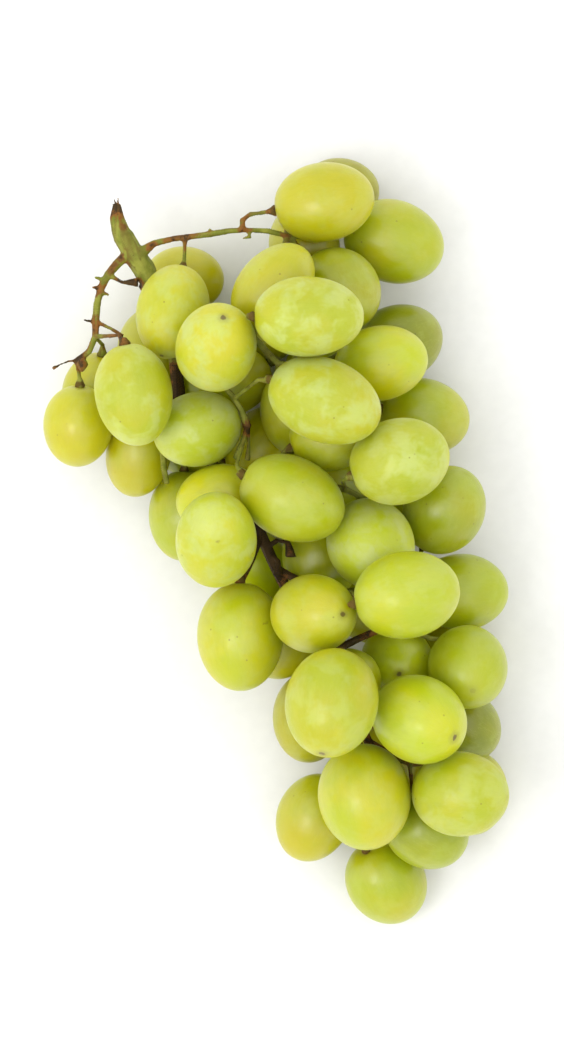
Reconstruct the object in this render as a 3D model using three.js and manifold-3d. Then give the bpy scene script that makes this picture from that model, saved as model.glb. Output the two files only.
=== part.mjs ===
// A bunch of white table grapes, as picked, lying on a flat surface.
//
// Millimetres, +Z up. +Y runs from the tip of the bunch towards its stalk, and
// the origin lies on the surface, under the middle of the bunch. The bunch is
// one stem, with every branch and berry stalk grown from it, and the berries,
// each a solid of its own that sits just off the end of its stalk.

import * as THREE from "three";
import { mergeVertices } from "three/addons/utils/BufferGeometryUtils.js";
import Module from "manifold-3d";

const wasm = await Module();
wasm.setup();

// ---------------------------------------------------------------- dimensions

const BERRY_SIDES = 10; // faces round a berry
const BERRY_BANDS = 8; // faces from its stalk to its blossom end
const BERRY_TAPER = 0.05; // how much slimmer the blossom half is
const DIMPLE = 0.35; // depth of the dent that the stalk sits in
const SKIN_GAP = 0.3; // air left between a berry and whatever touches it
const PRESSED_FLAT = 0.8; // how far a berry's underside is pressed in by the surface

const STALK_RADIUS = 0.62; // a berry's own stalk
const STALK_ROOT_RADIUS = 0.8; // where it leaves its branch
const RECEPTACLE_RADIUS = 1.45; // the flared pad against the berry
const STALK_SIDES = 5;
const STALK_STEPS = 4;
const LIMB_STEP = 5; // between the rings of a branch
const JOIN_TOLERANCE = 0.02; // edges shorter than this close up where limbs join
const STALK_NECK = 2.5; // how far a stalk runs straight out of its berry
const THREAD_STEPS = 7; // parts of a stalk while its way is found
const THREAD_ROUNDS = 60;
const DRAWN_TIGHT = 0.4; // how far a stalk straightens at each round
const BEARING_PLACES = 24; // even steps along a branch where stalks may leave it
const STEM_CLEARANCE = 0.25; // air cut between the stem and a berry it brushes
const GROUND_WIDTH = 400;
const GROUND_DEPTH = 20;

// The branches, each a list of points along it and of its radius at even steps.
// The first is the rachis, from the swelling where the two shoulders fork off
// down to the tip of the bunch. A branch bears berry stalks only past its bare
// share. Those that bear none are the stalk's torn end and the spurs, which
// dropped their berry or never set one, and end in a pad or a withered tip.
const BRANCHES = [
  {
    name: "rachis",
    bare: 0.2,
    sides: 8,
    radii: [2.6, 2.9, 2.2, 1.8, 1.7, 1.6, 1.55, 1.5, 1.5, 1.45, 1.4, 1.3, 1.2, 1.1, 1, 0.9, 0.8],
    points: [
      [-39.6, 72.8, 26.9], [-38.2, 70, 26.5], [-36, 67, 26], [-33.3, 62.5, 25], [-30, 54, 23.5],
      [-27, 45, 23], [-26, 36, 23], [-24.5, 27, 23], [-19, 18, 23], [-12, 9, 23.5],
      [-6, 0, 24], [-2, -9, 24], [4, -20, 24], [11, -31, 24], [17, -43, 24], [22, -55, 23],
      [24.5, -66, 22], [23, -74, 20], [20.3, -80, 17.5],
    ],
  },
  {
    name: "torn stalk end",
    bare: 1,
    sides: 8,
    radii: [0.9, 1.5, 2, 2.2, 2.4, 2.6],
    points: [[-41, 80.6, 27], [-41.1, 77.5, 27], [-40.2, 74, 27], [-38.6, 70.8, 26.7]],
  },
  {
    name: "right shoulder",
    bare: 0.25,
    sides: 7,
    radii: [1.7, 1, 0.85, 0.8, 0.8, 0.75, 1, 0.7, 0.65, 0.65, 0.9, 0.7],
    points: [
      [-35.5, 68, 26.5], [-31.5, 70.8, 28], [-25.5, 72, 29.5], [-20.5, 72.5, 30], [-13, 73.7, 31],
      [-9.7, 74, 31], [-5.5, 73.7, 30.5], [-1.7, 73.5, 30], [1.2, 72.6, 29.5],
    ],
  },
  {
    name: "left shoulder",
    bare: 0.4,
    sides: 7,
    radii: [1.7, 1.25, 1.05, 1, 1.05, 0.95, 1.05, 0.85, 0.8, 0.9],
    points: [
      [-37.5, 68.5, 26.3], [-42.5, 64, 27], [-44.3, 60.7, 27.5], [-45.5, 58.2, 28], [-46, 54.5, 28.5],
      [-46.3, 50.7, 29], [-46.5, 46.5, 29.5], [-47.7, 44, 29.5], [-51, 41.4, 29],
    ],
  },
  {
    name: "upper fork",
    bare: 0,
    sides: 6,
    radii: [1.2, 1, 0.85, 0.75, 0.75, 1.2],
    points: [[-27.5, 46, 23], [-21, 41, 29], [-13.7, 34.5, 33.5], [-9.2, 27.5, 33], [-8.5, 25, 32.5]],
  },
  {
    name: "upper right",
    bare: 0,
    sides: 6,
    radii: [1.3, 1.1, 1, 0.9, 0.8, 0.7],
    points: [
      [-28.7, 50.5, 23.3], [-17, 51, 25], [-6, 46.5, 28], [-1.5, 41, 30.5], [8, 40.5, 31],
      [18, 45.5, 27], [23, 50, 26],
    ],
  },
  {
    name: "middle left",
    bare: 0,
    sides: 6,
    radii: [1.1, 0.9, 0.8],
    points: [[-24.8, 29, 23], [-29, 23, 25], [-29.5, 16, 26.5], [-28.5, 11, 28]],
  },
  {
    name: "middle right",
    bare: 0,
    sides: 6,
    radii: [1.3, 1.1, 1, 0.8, 0.7],
    points: [[-12.5, 9.7, 23.5], [-3, 16, 27], [6, 11.5, 29], [16, 9.5, 31], [24, 6, 30], [32, 12, 29]],
  },
  {
    name: "waist left",
    bare: 0,
    sides: 6,
    radii: [1, 0.9, 0.8],
    points: [[-5.2, -1.5, 24], [-7.5, -8, 28], [-9.7, -12.7, 31]],
  },
  {
    name: "waist right",
    bare: 0,
    sides: 6,
    radii: [1.2, 1, 0.9, 0.7],
    points: [[-1.7, -10, 24], [9, -15, 29], [19, -15.5, 28], [28, -8, 27], [37, -7, 26]],
  },
  {
    name: "lower right",
    bare: 0,
    sides: 6,
    radii: [1.2, 1, 0.9, 0.7],
    points: [[11.3, -31.5, 24], [19, -27.5, 29], [28, -24.5, 28], [37, -27.5, 27]],
  },
  {
    name: "tip right",
    bare: 0,
    sides: 6,
    radii: [1.1, 1, 0.9, 0.7],
    points: [[21.2, -53, 23.2], [26.5, -56, 27], [31, -58.5, 28], [37, -58, 27]],
  },
  {
    name: "first berry's elbow",
    bare: 0.9,
    sides: 6,
    radii: [0.9, 0.8, 0.65],
    points: [[-9.7, 74, 31], [-9.8, 76.3, 31.3], [-8, 77.8, 31]],
  },
  {
    name: "withered bud",
    bare: 1,
    sides: 5,
    radii: [0.7, 0.6, 0.3],
    points: [[-8.4, 74, 31], [-8, 72.1, 30.8], [-9.9, 71.8, 30.8]],
  },
  {
    name: "shoulder bud",
    bare: 1,
    sides: 5,
    radii: [0.6, 0.55, 0.35],
    points: [[-17.7, 72.8, 30.4], [-17.8, 73.6, 30.5], [-18, 74.4, 30.6]],
  },
  {
    name: "dark pad",
    bare: 1,
    sides: 6,
    radii: [0.6, 0.6, 0.7, 1.2],
    points: [[0.6, 72.8, 29.5], [0.9, 71.6, 29.8], [1, 70.4, 29.9]],
  },
  {
    name: "bare stalk",
    bare: 1,
    sides: 6,
    radii: [0.7, 0.5, 0.5, 0.5, 0.6, 1.3],
    points: [[-43, 62.8, 27.2], [-39.5, 60.9, 27.3], [-35.8, 61, 27.5]],
  },
  {
    name: "upper thorn",
    bare: 1,
    sides: 5,
    radii: [0.8, 0.5, 0.35],
    points: [[-44, 61.2, 27.4], [-45.5, 62, 27.6], [-46.6, 62.3, 27.8]],
  },
  {
    name: "lower thorn",
    bare: 1,
    sides: 5,
    radii: [0.8, 0.5, 0.35],
    points: [[-45, 59.2, 27.8], [-46.3, 59.8, 28], [-47.3, 59.6, 28.2]],
  },
  {
    name: "left twig",
    bare: 1,
    sides: 5,
    radii: [0.7, 0.45, 0.35],
    points: [[-46.3, 50.9, 29], [-47.8, 51.4, 29.3], [-49.3, 51.5, 29.6]],
  },
  {
    name: "twin stalk",
    bare: 1,
    sides: 5,
    radii: [0.65, 0.5, 0.5, 0.6],
    points: [[-46.1, 51.2, 29], [-43, 49.8, 30], [-39.4, 47.6, 30.8]],
  },
  {
    name: "right thorn",
    bare: 1,
    sides: 5,
    radii: [0.8, 0.6, 0.4],
    points: [[-45.4, 58, 28], [-44, 58.2, 28.1], [-42.8, 57.8, 28.2]],
  },
  {
    name: "knobbed twig",
    bare: 1,
    sides: 5,
    radii: [0.6, 0.4, 0.35, 0.35, 0.6],
    points: [[-50.7, 41.6, 29], [-53, 41.4, 29.4], [-55.5, 40.3, 29.6], [-57, 39.5, 29.6]],
  },
  {
    name: "berry that never swelled",
    bare: 1,
    sides: 7,
    radii: [0.5, 0.5, 1.5, 1.75, 1.3, 0.4],
    points: [[-49.4, 42.6, 29.3], [-49.5, 41, 30.2], [-49.7, 38.6, 30.6]],
  },
  {
    name: "left withered stalk",
    bare: 1,
    sides: 5,
    radii: [0.6, 0.45, 0.45, 0.9],
    points: [[-8.7, 25.4, 32.5], [-10, 21.8, 32], [-11.6, 17, 31.7]],
  },
  {
    name: "right withered stalk",
    bare: 1,
    sides: 5,
    radii: [0.6, 0.45, 0.45, 0.9],
    points: [[-8.4, 25.2, 32.5], [-8.2, 21, 32.3], [-8.6, 16.8, 32]],
  },
  {
    name: "upper knot",
    bare: 1,
    sides: 6,
    radii: [0.8, 0.6, 1],
    points: [[-10, 49, 26.9], [-8.8, 51, 30], [-8.3, 52.2, 32]],
  },
  {
    name: "waist pad",
    bare: 1,
    sides: 6,
    radii: [0.8, 0.65, 0.75, 1.5],
    points: [[-4, -5, 24], [0.5, -2.5, 27], [2, -5, 28], [2.2, -7.2, 28.2]],
  },
  {
    name: "waist stub",
    bare: 1,
    sides: 6,
    radii: [0.7, 0.6, 0.7, 1.4],
    points: [[-3.2, -6.4, 24], [-1, -8, 26.5], [-1.1, -11.8, 27]],
  },
];

// The berries, from the stalk end of the bunch to its tip: where each one hangs,
// its size, the heading of its blossom end round the vertical, counted from +X
// towards +Y, and how far that end is raised, both in degrees.
// x, y, z, length, width, heading, rise
const BERRIES = [
  // on the right shoulder
  [10.5, 80.7, 38, 24.5, 19.5, 10, 5],
  [12.8, 81.8, 12, 20, 17, 0, 0],
  [27.9, 71.3, 24, 24.8, 20.6, -17, -5],
  [8, 72.7, 20, 20, 17.5, 100, -30],
  [12.2, 60.3, 28, 22.5, 20, -50, 40],
  [-1.2, 58.7, 32, 24.5, 17.2, 50, 0],
  // on the left shoulder
  [-49.9, 25, 26, 20.5, 17.5, -93, -12],
  [-44.6, 34.5, 10, 20.5, 17, -100, -20],
  [-36.2, 32.7, 40, 25, 19, -80, 0],
  [-35.2, 17.6, 17, 21, 16, -100, -20],
  [-33, 44, 12, 21, 18, 90, -20],
  // round the upper forks
  [-27.3, 53.5, 36, 24, 18, -103, 22],
  [-24.6, 61.3, 16, 19.5, 16.5, 0, -10],
  [-15.8, 45.2, 48, 25, 20, 75, 55],
  [6.5, 51.7, 46, 27, 20, 0, 0],
  [24.7, 41, 34, 23, 18.5, 10, 0],
  [26, 45, 16, 23, 19, 20, -20],
  [11.2, 31.2, 52, 28.5, 20.5, -22, 8],
  [35, 28.7, 20, 23, 19, -10, -20],
  [2.7, 29.5, 28, 22, 17.5, -90, 0],
  [-12.5, 38, 12, 23, 18, 10, -10],
  [12, 42, 12, 22, 18, 30, -20],
  [-4, 49, 9, 21, 17.5, 100, -20],
  // round the middle of the rachis
  [-20, 23, 34, 22, 18.5, 195, 20],
  [-16, 9.5, 24, 21, 17, 190, -10],
  [-25.4, 4.9, 20, 22, 17.5, -90, 0],
  [-15.7, -2.2, 44, 27, 20, 90, 48],
  [2.2, 7.7, 46, 26.5, 20.5, -25, 0],
  [12, 22.8, 30, 21, 18, 20, 0],
  [27.4, 17.8, 46, 24.6, 21.2, 17, 0],
  [33, 6.5, 12, 22, 18, 40, -20],
  [22.5, -4.5, 36, 24, 21.5, -60, 45],
  [40, 3.7, 24, 23, 20, 60, 30],
  [-7, 20.5, 10, 22, 18, 60, -20],
  [-21.5, 20, 9, 20, 16, 150, -10],
  [15, 8.5, 10, 22, 18, -40, -20],
  // round the lower rachis
  [30.7, -16.2, 46, 26, 21.5, 10, 0],
  [45, -16.5, 24, 22.5, 19, 0, -10],
  [7.4, -21.4, 44, 24.5, 19.4, 0, 55],
  [-9.4, -25.4, 34, 26.5, 21.5, -90, 0],
  [0, -25.8, 16, 21, 18.5, -120, -10],
  [28.2, -30.5, 28, 22, 18, -80, 75],
  [-6, -12, 12, 21, 17.5, -70, -10],
  [9, -9.5, 12, 22, 18, -80, -10],
  [23, -20.5, 12, 23, 18, -15, -10],
  [12.2, -43.2, 46, 27.5, 23, -100, 25],
  [6.5, -46.2, 20, 22.5, 18.5, -95, 0],
  [34.5, -47.8, 46, 25.5, 21.5, -27, 42],
  [44.6, -48.5, 22, 21, 18.2, -30, -10],
  [45.7, -35.2, 34, 22.5, 19.8, -80, 60],
  [45.4, -32.8, 10, 24, 18.2, -35, 0],
  [15.6, -38.6, 26, 20, 17.5, 30, 0],
  // at the tip
  [20.5, -66.7, 42, 26, 23, -83, 10],
  [43.7, -65.7, 34, 24, 21, -5, 20],
  [47, -65.5, 10, 21, 18.5, -90, 0],
  [7.9, -72.2, 22, 22, 18.3, -114, 0],
  [35.5, -75.4, 20, 21.5, 19, -30, 0],
  [26.9, -87.4, 14, 23.2, 20, -57, -35],
  [27, -59, 10, 22, 18, -70, -20],
];

// The berries that the sun has turned amber, by their place in the list above.
const AMBER = [7, 10, 56];

// Settling: the berries sink a little at each round, are drawn back over the
// place they hang at, and are parted wherever two of them overlap.
const SETTLING_ROUNDS = 260;
const LAST_SINKING_ROUND = 150;
const SINK = 0.16; // at each round
const SAG = 6; // as far as a berry's stalk lets it sink
const HOLD = 0.12; // share of the way back, at each round
const SIDEWAYS = 0.22; // how readily a berry yields sideways, against 1 for upwards
const CONTACT_ROUNDS = 18; // of the search for where two berries would touch

// ------------------------------------------------------------------- solids

// A closed three.js geometry as a solid that can be joined and cut.
function solidOf(geometry, tolerance = JOIN_TOLERANCE) {
  const bare = geometry.clone();
  bare.deleteAttribute("normal");
  bare.deleteAttribute("uv");
  const welded = mergeVertices(bare, 1e-4);
  return new wasm.Manifold(
    new wasm.Mesh({
      numProp: 3,
      vertProperties: new Float32Array(welded.attributes.position.array),
      triVerts: new Uint32Array(welded.index.array),
      tolerance,
    }),
  );
}

function geometryOf(solid) {
  const mesh = solid.getMesh();
  const geometry = new THREE.BufferGeometry();
  geometry.setAttribute("position", new THREE.BufferAttribute(mesh.vertProperties, 3));
  geometry.setIndex(new THREE.BufferAttribute(mesh.triVerts, 1));
  geometry.computeVertexNormals();
  return geometry;
}

// The value at a share of the way along a list of evenly spaced values.
function along(values, share) {
  const place = share * (values.length - 1);
  const before = Math.min(Math.floor(place), values.length - 2);
  return THREE.MathUtils.lerp(values[before], values[before + 1], place - before);
}

// A limb of the stem: a closed cylinder bent along a smooth curve through its
// points, with its radius following the list of radii.
function limb(points, radii, sides, steps) {
  const curve = new THREE.CatmullRomCurve3(points, false, "centripetal");
  const frames = curve.computeFrenetFrames(steps, false);
  const geometry = new THREE.CylinderGeometry(1, 1, 1, sides, steps);
  const position = geometry.attributes.position;
  for (let i = 0; i < position.count; i += 1) {
    const share = position.getY(i) + 0.5;
    const step = Math.round(share * steps);
    const radius = along(radii, share);
    const point = curve.getPointAt(share);
    point.addScaledVector(frames.normals[step], position.getX(i) * radius);
    point.addScaledVector(frames.binormals[step], -position.getZ(i) * radius);
    position.setXYZ(i, point.x, point.y, point.z);
  }
  return geometry;
}

// ------------------------------------------------------------------ berries

// A berry as an ellipsoid that can be moved: its centre, the unit direction of
// its blossom end, its two half-sizes, and the matrix of their squares.
function hang([x, y, z, length, width, heading, rise]) {
  const turn = THREE.MathUtils.degToRad(heading);
  const lift = THREE.MathUtils.degToRad(rise);
  const axis = new THREE.Vector3(
    Math.cos(lift) * Math.cos(turn),
    Math.cos(lift) * Math.sin(turn),
    Math.sin(lift),
  );
  return ellipsoid(new THREE.Vector3(x, y, z), axis, length / 2, width / 2);
}

function ellipsoid(centre, axis, halfLength, halfWidth) {
  const { x, y, z } = axis;
  const round = halfWidth ** 2;
  const extra = halfLength ** 2 - round;
  const squares = [
    round + extra * x * x, extra * x * y, extra * x * z,
    extra * x * y, round + extra * y * y, extra * y * z,
    extra * x * z, extra * y * z, round + extra * z * z,
  ];
  const inverse = new THREE.Matrix3().fromArray(squares).invert();
  return { centre, home: centre.clone(), axis, halfLength, halfWidth, squares, inverse };
}

// The gap between two ellipsoids, negative where they overlap, and the direction
// to part them in. This is Perram and Wertheim's contact function: the share
// that makes it greatest gives the factor by which both would have to grow to
// touch, and the normal where they would.
function contact(p, q) {
  const between = q.centre.clone().sub(p.centre);
  const blend = new THREE.Matrix3();
  const pull = new THREE.Vector3();
  const measure = (share) => {
    blend.fromArray(p.squares.map((value, i) => (1 - share) * value + share * q.squares[i]));
    pull.copy(between).applyMatrix3(blend.invert());
    return share * (1 - share) * pull.dot(between);
  };
  let low = 0;
  let high = 1;
  for (let i = 0; i < CONTACT_ROUNDS; i += 1) {
    const third = (high - low) / 3;
    if (measure(low + third) < measure(high - third)) {
      low += third;
    } else {
      high -= third;
    }
  }
  const growth = Math.sqrt(measure((low + high) / 2));
  const normal = pull.clone().normalize();
  return { gap: between.dot(normal) * (1 - 1 / growth), normal };
}

// The least move that opens a gap by a distance, where sideways moves are dearer
// than upward ones.
function yieldTo(normal, distance) {
  const move = new THREE.Vector3(normal.x * SIDEWAYS, normal.y * SIDEWAYS, normal.z);
  return move.multiplyScalar(distance / move.dot(normal));
}

// How far an ellipsoid reaches below its centre.
function depthOf(berry) {
  return Math.sqrt(berry.squares[8]);
}

function settle(berries, posts) {
  for (let round = 0; round < SETTLING_ROUNDS; round += 1) {
    const still = round >= LAST_SINKING_ROUND;
    for (const berry of berries) {
      if (!still) {
        berry.centre.x += HOLD * (berry.home.x - berry.centre.x);
        berry.centre.y += HOLD * (berry.home.y - berry.centre.y);
        berry.centre.z -= SINK;
      }
    }
    berries.forEach((berry, i) => {
      for (const other of berries.slice(i + 1)) {
        const apart = berry.centre.distanceTo(other.centre);
        if (apart < berry.halfLength + other.halfLength + SKIN_GAP) {
          const { gap, normal } = contact(berry, other);
          if (gap < SKIN_GAP) {
            const move = yieldTo(normal, (SKIN_GAP - gap) / 2);
            berry.centre.sub(move);
            other.centre.add(move);
          }
        }
      }
      for (const post of posts) {
        if (berry.centre.distanceTo(post.centre) < berry.halfLength + post.halfLength + SKIN_GAP) {
          const { gap, normal } = contact(berry, post);
          if (gap < SKIN_GAP) {
            berry.centre.sub(yieldTo(normal, SKIN_GAP - gap));
          }
        }
      }
      const lowest = Math.max(depthOf(berry) - PRESSED_FLAT, berry.home.z - SAG);
      berry.centre.z = Math.max(berry.centre.z, lowest);
    });
  }
}

// The profile of a berry of half-sizes 1, from its dimpled stalk end, at -Y, to
// its blossom end, turned about its length.
function berryGeometry(halfLength, halfWidth) {
  const profile = [];
  for (let band = 0; band <= BERRY_BANDS; band += 1) {
    const angle = (Math.PI * band) / BERRY_BANDS;
    const slimmer = 1 - (BERRY_TAPER * (1 - Math.cos(angle))) / 2;
    const dent = band === 0 ? DIMPLE : 0;
    const radius = band === 0 || band === BERRY_BANDS ? 0 : halfWidth * Math.sin(angle) * slimmer;
    profile.push(new THREE.Vector2(radius, dent - halfLength * Math.cos(angle)));
  }
  return new THREE.LatheGeometry(profile, BERRY_SIDES);
}

// ------------------------------------------------------------ berry stalks

// Moves a point out of a berry, to a distance from its skin.
function pushOut(point, berry, distance) {
  const offset = point.clone().sub(berry.centre);
  if (offset.length() > berry.halfLength + distance) {
    return;
  }
  const slope = offset.clone().applyMatrix3(berry.inverse);
  const size = Math.sqrt(slope.dot(offset));
  const inside = distance - ((size - 1) * size) / slope.length();
  if (inside > 0) {
    point.addScaledVector(slope.normalize(), inside);
  }
}

// A berry's stalk: a thread from the nearest bearing place on a branch to the
// dent of the berry. It is drawn tight, and pushed out of every berry it meets.
function leadStalk(berry, berries, bearers) {
  const reach = berry.halfLength - DIMPLE + SKIN_GAP;
  const foot = berry.centre.clone().addScaledVector(berry.axis, -reach);
  const neck = foot.clone().addScaledVector(berry.axis, -STALK_NECK);
  const nearest = bearers.reduce((a, b) => (a.distanceTo(neck) < b.distanceTo(neck) ? a : b));
  const thread = [];
  for (let i = 0; i <= THREAD_STEPS; i += 1) {
    thread.push(nearest.clone().lerp(neck, i / THREAD_STEPS));
  }
  for (let round = 0; round < THREAD_ROUNDS; round += 1) {
    for (let i = 1; i <= THREAD_STEPS; i += 1) {
      const next = i < THREAD_STEPS ? thread[i + 1] : foot;
      const middle = thread[i - 1].clone().add(next).multiplyScalar(0.5);
      thread[i].lerp(i < THREAD_STEPS ? middle : neck, DRAWN_TIGHT);
    }
    for (const point of thread.slice(1)) {
      for (const other of berries) {
        pushOut(point, other, STALK_RADIUS + SKIN_GAP);
      }
    }
  }
  return [...thread, foot];
}

// --------------------------------------------------------------- the bunch

const points = (list) => list.map((place) => new THREE.Vector3(...place));
const branches = BRANCHES.map((branch) => {
  const curve = new THREE.CatmullRomCurve3(points(branch.points), false, "centripetal");
  const steps = Math.max(branch.points.length - 1, Math.ceil(curve.getLength() / LIMB_STEP));
  return { ...branch, curve, steps };
});

// Beads along the branches keep the berries off them.
const posts = branches.flatMap(({ curve, radii, steps }) => {
  return curve.getSpacedPoints(steps).map((centre, i) => {
    const radius = along(radii, i / steps);
    return ellipsoid(centre, new THREE.Vector3(0, 0, 1), radius, radius);
  });
});

const berries = BERRIES.map(hang);
settle(berries, posts);

const hanging = new THREE.Group();
const skin = new THREE.MeshStandardMaterial({ color: 0xc3cd35, roughness: 0.45, metalness: 0 });
const amberSkin = new THREE.MeshStandardMaterial({ color: 0xd2c234, roughness: 0.45, metalness: 0 });
const wood = new THREE.MeshStandardMaterial({ color: 0x8a8a3c, roughness: 0.75, metalness: 0 });

const up = new THREE.Vector3(0, 1, 0);
const ground = new THREE.BoxGeometry(GROUND_WIDTH, GROUND_WIDTH, GROUND_DEPTH);
ground.translate(0, 0, -GROUND_DEPTH / 2);

berries.forEach((berry, i) => {
  const material = (AMBER.includes(i + 1) ? amberSkin : skin).clone();
  const mesh = new THREE.Mesh(berryGeometry(berry.halfLength, berry.halfWidth), material);
  mesh.name = `berry_${String(i + 1).padStart(2, "0")}`;
  mesh.position.copy(berry.centre);
  mesh.quaternion.setFromUnitVectors(up, berry.axis);
  mesh.updateMatrix();
  if (berry.centre.z < depthOf(berry)) {
    const placed = mesh.geometry.clone().applyMatrix4(mesh.matrix);
    const pressed = solidOf(placed).subtract(solidOf(ground));
    mesh.geometry = geometryOf(pressed).applyMatrix4(mesh.matrix.clone().invert());
  }
  hanging.add(mesh);
});

const bearers = branches.flatMap(({ curve, bare }) => {
  const places = curve.getSpacedPoints(BEARING_PLACES);
  return places.filter((place, i) => bare < 1 && i / BEARING_PLACES >= bare);
});
const stalks = berries.map((berry) => leadStalk(berry, berries, bearers));

const stalkRadii = [STALK_ROOT_RADIUS, STALK_RADIUS, STALK_RADIUS, STALK_RADIUS, RECEPTACLE_RADIUS];
const limbs = [
  ...branches.map(({ points: places, radii, sides, steps }) => limb(points(places), radii, sides, steps)),
  ...stalks.map((places) => limb(places, stalkRadii, STALK_SIDES, STALK_STEPS)),
];
const joined = limbs.map((shape) => solidOf(shape)).reduce((whole, part) => whole.add(part));

// Where a limb still brushes a berry, it is cut back to leave the gap.
const cleared = berries.reduce((rest, berry, i) => {
  const grown = berryGeometry(berry.halfLength + STEM_CLEARANCE, berry.halfWidth + STEM_CLEARANCE);
  grown.applyMatrix4(hanging.children[i].matrix);
  return rest.subtract(solidOf(grown));
}, joined);
// Slivers that hang on by no more than a corner drop off.
const pieces = solidOf(geometryOf(cleared), 0).decompose();
const whole = pieces.reduce((a, b) => (a.volume() > b.volume() ? a : b));
const stem = new THREE.Mesh(geometryOf(whole), wood);
stem.name = "stem";
hanging.add(stem);

// The origin goes under the middle of the bunch.
const middle = new THREE.Box3().setFromObject(hanging, true).getCenter(new THREE.Vector3());
hanging.position.set(-middle.x, -middle.y, 0);
const bunch = new THREE.Group();
bunch.add(hanging);

export default bunch;
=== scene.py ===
# %% [markdown]
# # A bunch of white table grapes
#
# The solid model gives every berry and the whole stem at their real size and
# place. This notebook dresses them: smooth berries that press on each other,
# with a translucent skin under a dusty bloom, and a woody stem with knots,
# pads and torn fibres. Lengths are in metres, and +Z is up.

import bpy
import numpy as np
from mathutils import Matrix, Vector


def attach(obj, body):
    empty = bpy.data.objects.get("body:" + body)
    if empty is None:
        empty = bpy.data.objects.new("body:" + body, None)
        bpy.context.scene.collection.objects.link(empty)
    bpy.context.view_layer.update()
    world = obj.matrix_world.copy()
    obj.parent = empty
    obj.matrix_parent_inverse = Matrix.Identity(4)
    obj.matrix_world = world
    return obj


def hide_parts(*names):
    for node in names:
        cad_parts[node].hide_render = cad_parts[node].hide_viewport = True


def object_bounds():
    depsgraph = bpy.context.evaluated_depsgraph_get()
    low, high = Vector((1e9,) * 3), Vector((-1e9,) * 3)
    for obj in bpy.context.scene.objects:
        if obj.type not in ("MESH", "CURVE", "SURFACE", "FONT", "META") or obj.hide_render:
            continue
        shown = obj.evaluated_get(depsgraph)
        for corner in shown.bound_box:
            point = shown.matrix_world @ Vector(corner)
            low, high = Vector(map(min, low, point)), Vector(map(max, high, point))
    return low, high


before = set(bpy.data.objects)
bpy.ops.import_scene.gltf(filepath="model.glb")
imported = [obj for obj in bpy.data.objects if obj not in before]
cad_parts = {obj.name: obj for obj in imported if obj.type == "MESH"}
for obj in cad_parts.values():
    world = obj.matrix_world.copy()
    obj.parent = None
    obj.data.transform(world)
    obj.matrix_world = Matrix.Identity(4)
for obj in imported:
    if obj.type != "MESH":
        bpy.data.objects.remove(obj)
MM = 0.001
CAD_BOX = [list(corner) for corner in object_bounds()]
CAD_LOW, CAD_HIGH = np.array(CAD_BOX)
berry_nodes = sorted(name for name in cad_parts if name.startswith("berry_"))
print(len(berry_nodes), "berries, box in mm", ((CAD_HIGH - CAD_LOW) / MM).round(1))

# %% [markdown]
# ## Where each berry is
#
# A berry's solid is a coarse ellipsoid, slightly slimmer towards its blossom
# end. Its centre and axes could be typed in again, but the solid's own corners
# already say them. All the corners lie, very nearly, on one surface
# `p.A.p + 2 b.p = 1`, which is linear in the nine unknowns of A and b, so one
# least-squares fit finds them. The long axis is the eigenvector of A's smallest
# eigenvalue.
# Corners on the surface that the bunch lies on are left out, because the berry
# is pressed flat there.

# %% Fit an ellipsoid to each solid
FLOOR_SKIN = 0.1 * MM  # corners lower than this belong to the pressed-flat spot
FIT_UNIT = 10 * MM  # about a berry's half-length, so that no unknown is tiny


def rows_of(items, key, width, kind=float):
    """One property of the vertices, edges or triangles of a mesh, a row for each."""
    values = np.empty(len(items) * width, dtype=kind)
    items.foreach_get(key, values)
    return values.reshape(-1, width)


def corners_of(node):
    """The corner points of a solid, each once."""
    points = rows_of(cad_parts[node].data.vertices, "co", 3)
    return np.unique(points.round(6), axis=0)


def fit_ellipsoid(points):
    """Centre, long axis, half-length and half-width of the ellipsoid through points."""
    points = points[points[:, 2] > FLOOR_SKIN]
    middle = points.mean(axis=0)
    x, y, z = ((points - middle) / FIT_UNIT).T
    squares = [x * x, y * y, z * z, 2 * x * y, 2 * x * z, 2 * y * z]
    terms = np.stack(squares + [2 * x, 2 * y, 2 * z], axis=1)
    unknowns = np.linalg.lstsq(terms, np.ones(len(x)), rcond=None)[0]
    xx, yy, zz, xy, xz, yz, *linear = unknowns
    form = np.array([[xx, xy, xz], [xy, yy, yz], [xz, yz, zz]])
    offset = -np.linalg.solve(form, linear)
    sizes, axes = np.linalg.eigh(form / (1 + offset @ form @ offset))
    halves = FIT_UNIT / np.sqrt(sizes)
    return middle + offset * FIT_UNIT, axes[:, 0], halves[0], halves[1:].mean()


stem_points = corners_of("stem")
berries = {}
for node in berry_nodes:
    centre, axis, half_length, half_width = fit_ellipsoid(corners_of(node))
    ends = centre + np.outer([-half_length, half_length], axis)
    reach = np.linalg.norm(ends[:, None] - stem_points, axis=2).min(axis=1)
    axis = axis if reach[0] < reach[1] else -axis  # from the stalk towards the blossom end
    berries[node] = {"centre": centre, "axis": axis, "a": half_length, "b": half_width}
lengths = [2 * berry["a"] / MM for berry in berries.values()]
print("berries from", round(min(lengths), 1), "to", round(max(lengths), 1), "mm long")

# %% [markdown]
# ## How ripe berries press on each other
#
# The solids leave a little air between neighbours. Real berries swell until
# they touch, and go slightly flat where they do. So each berry is grown by a
# third of a millimetre, and a point that has come nearer to a neighbour than
# its own growth allows gives way by about half of what is missing: both sides
# do the same, so the two skins meet on one smooth patch. The surface below
# presses a flat spot. First the grown berries are fitted into the box of the
# solids, because a smooth ellipsoid bulges past the flats of a coarse one.

# %% Grow the berries inside the box
GROWTH = 0.3 * MM
SIDES_ONLY = np.array([1, 1, 0])  # below, the surface presses the berries flat


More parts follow.
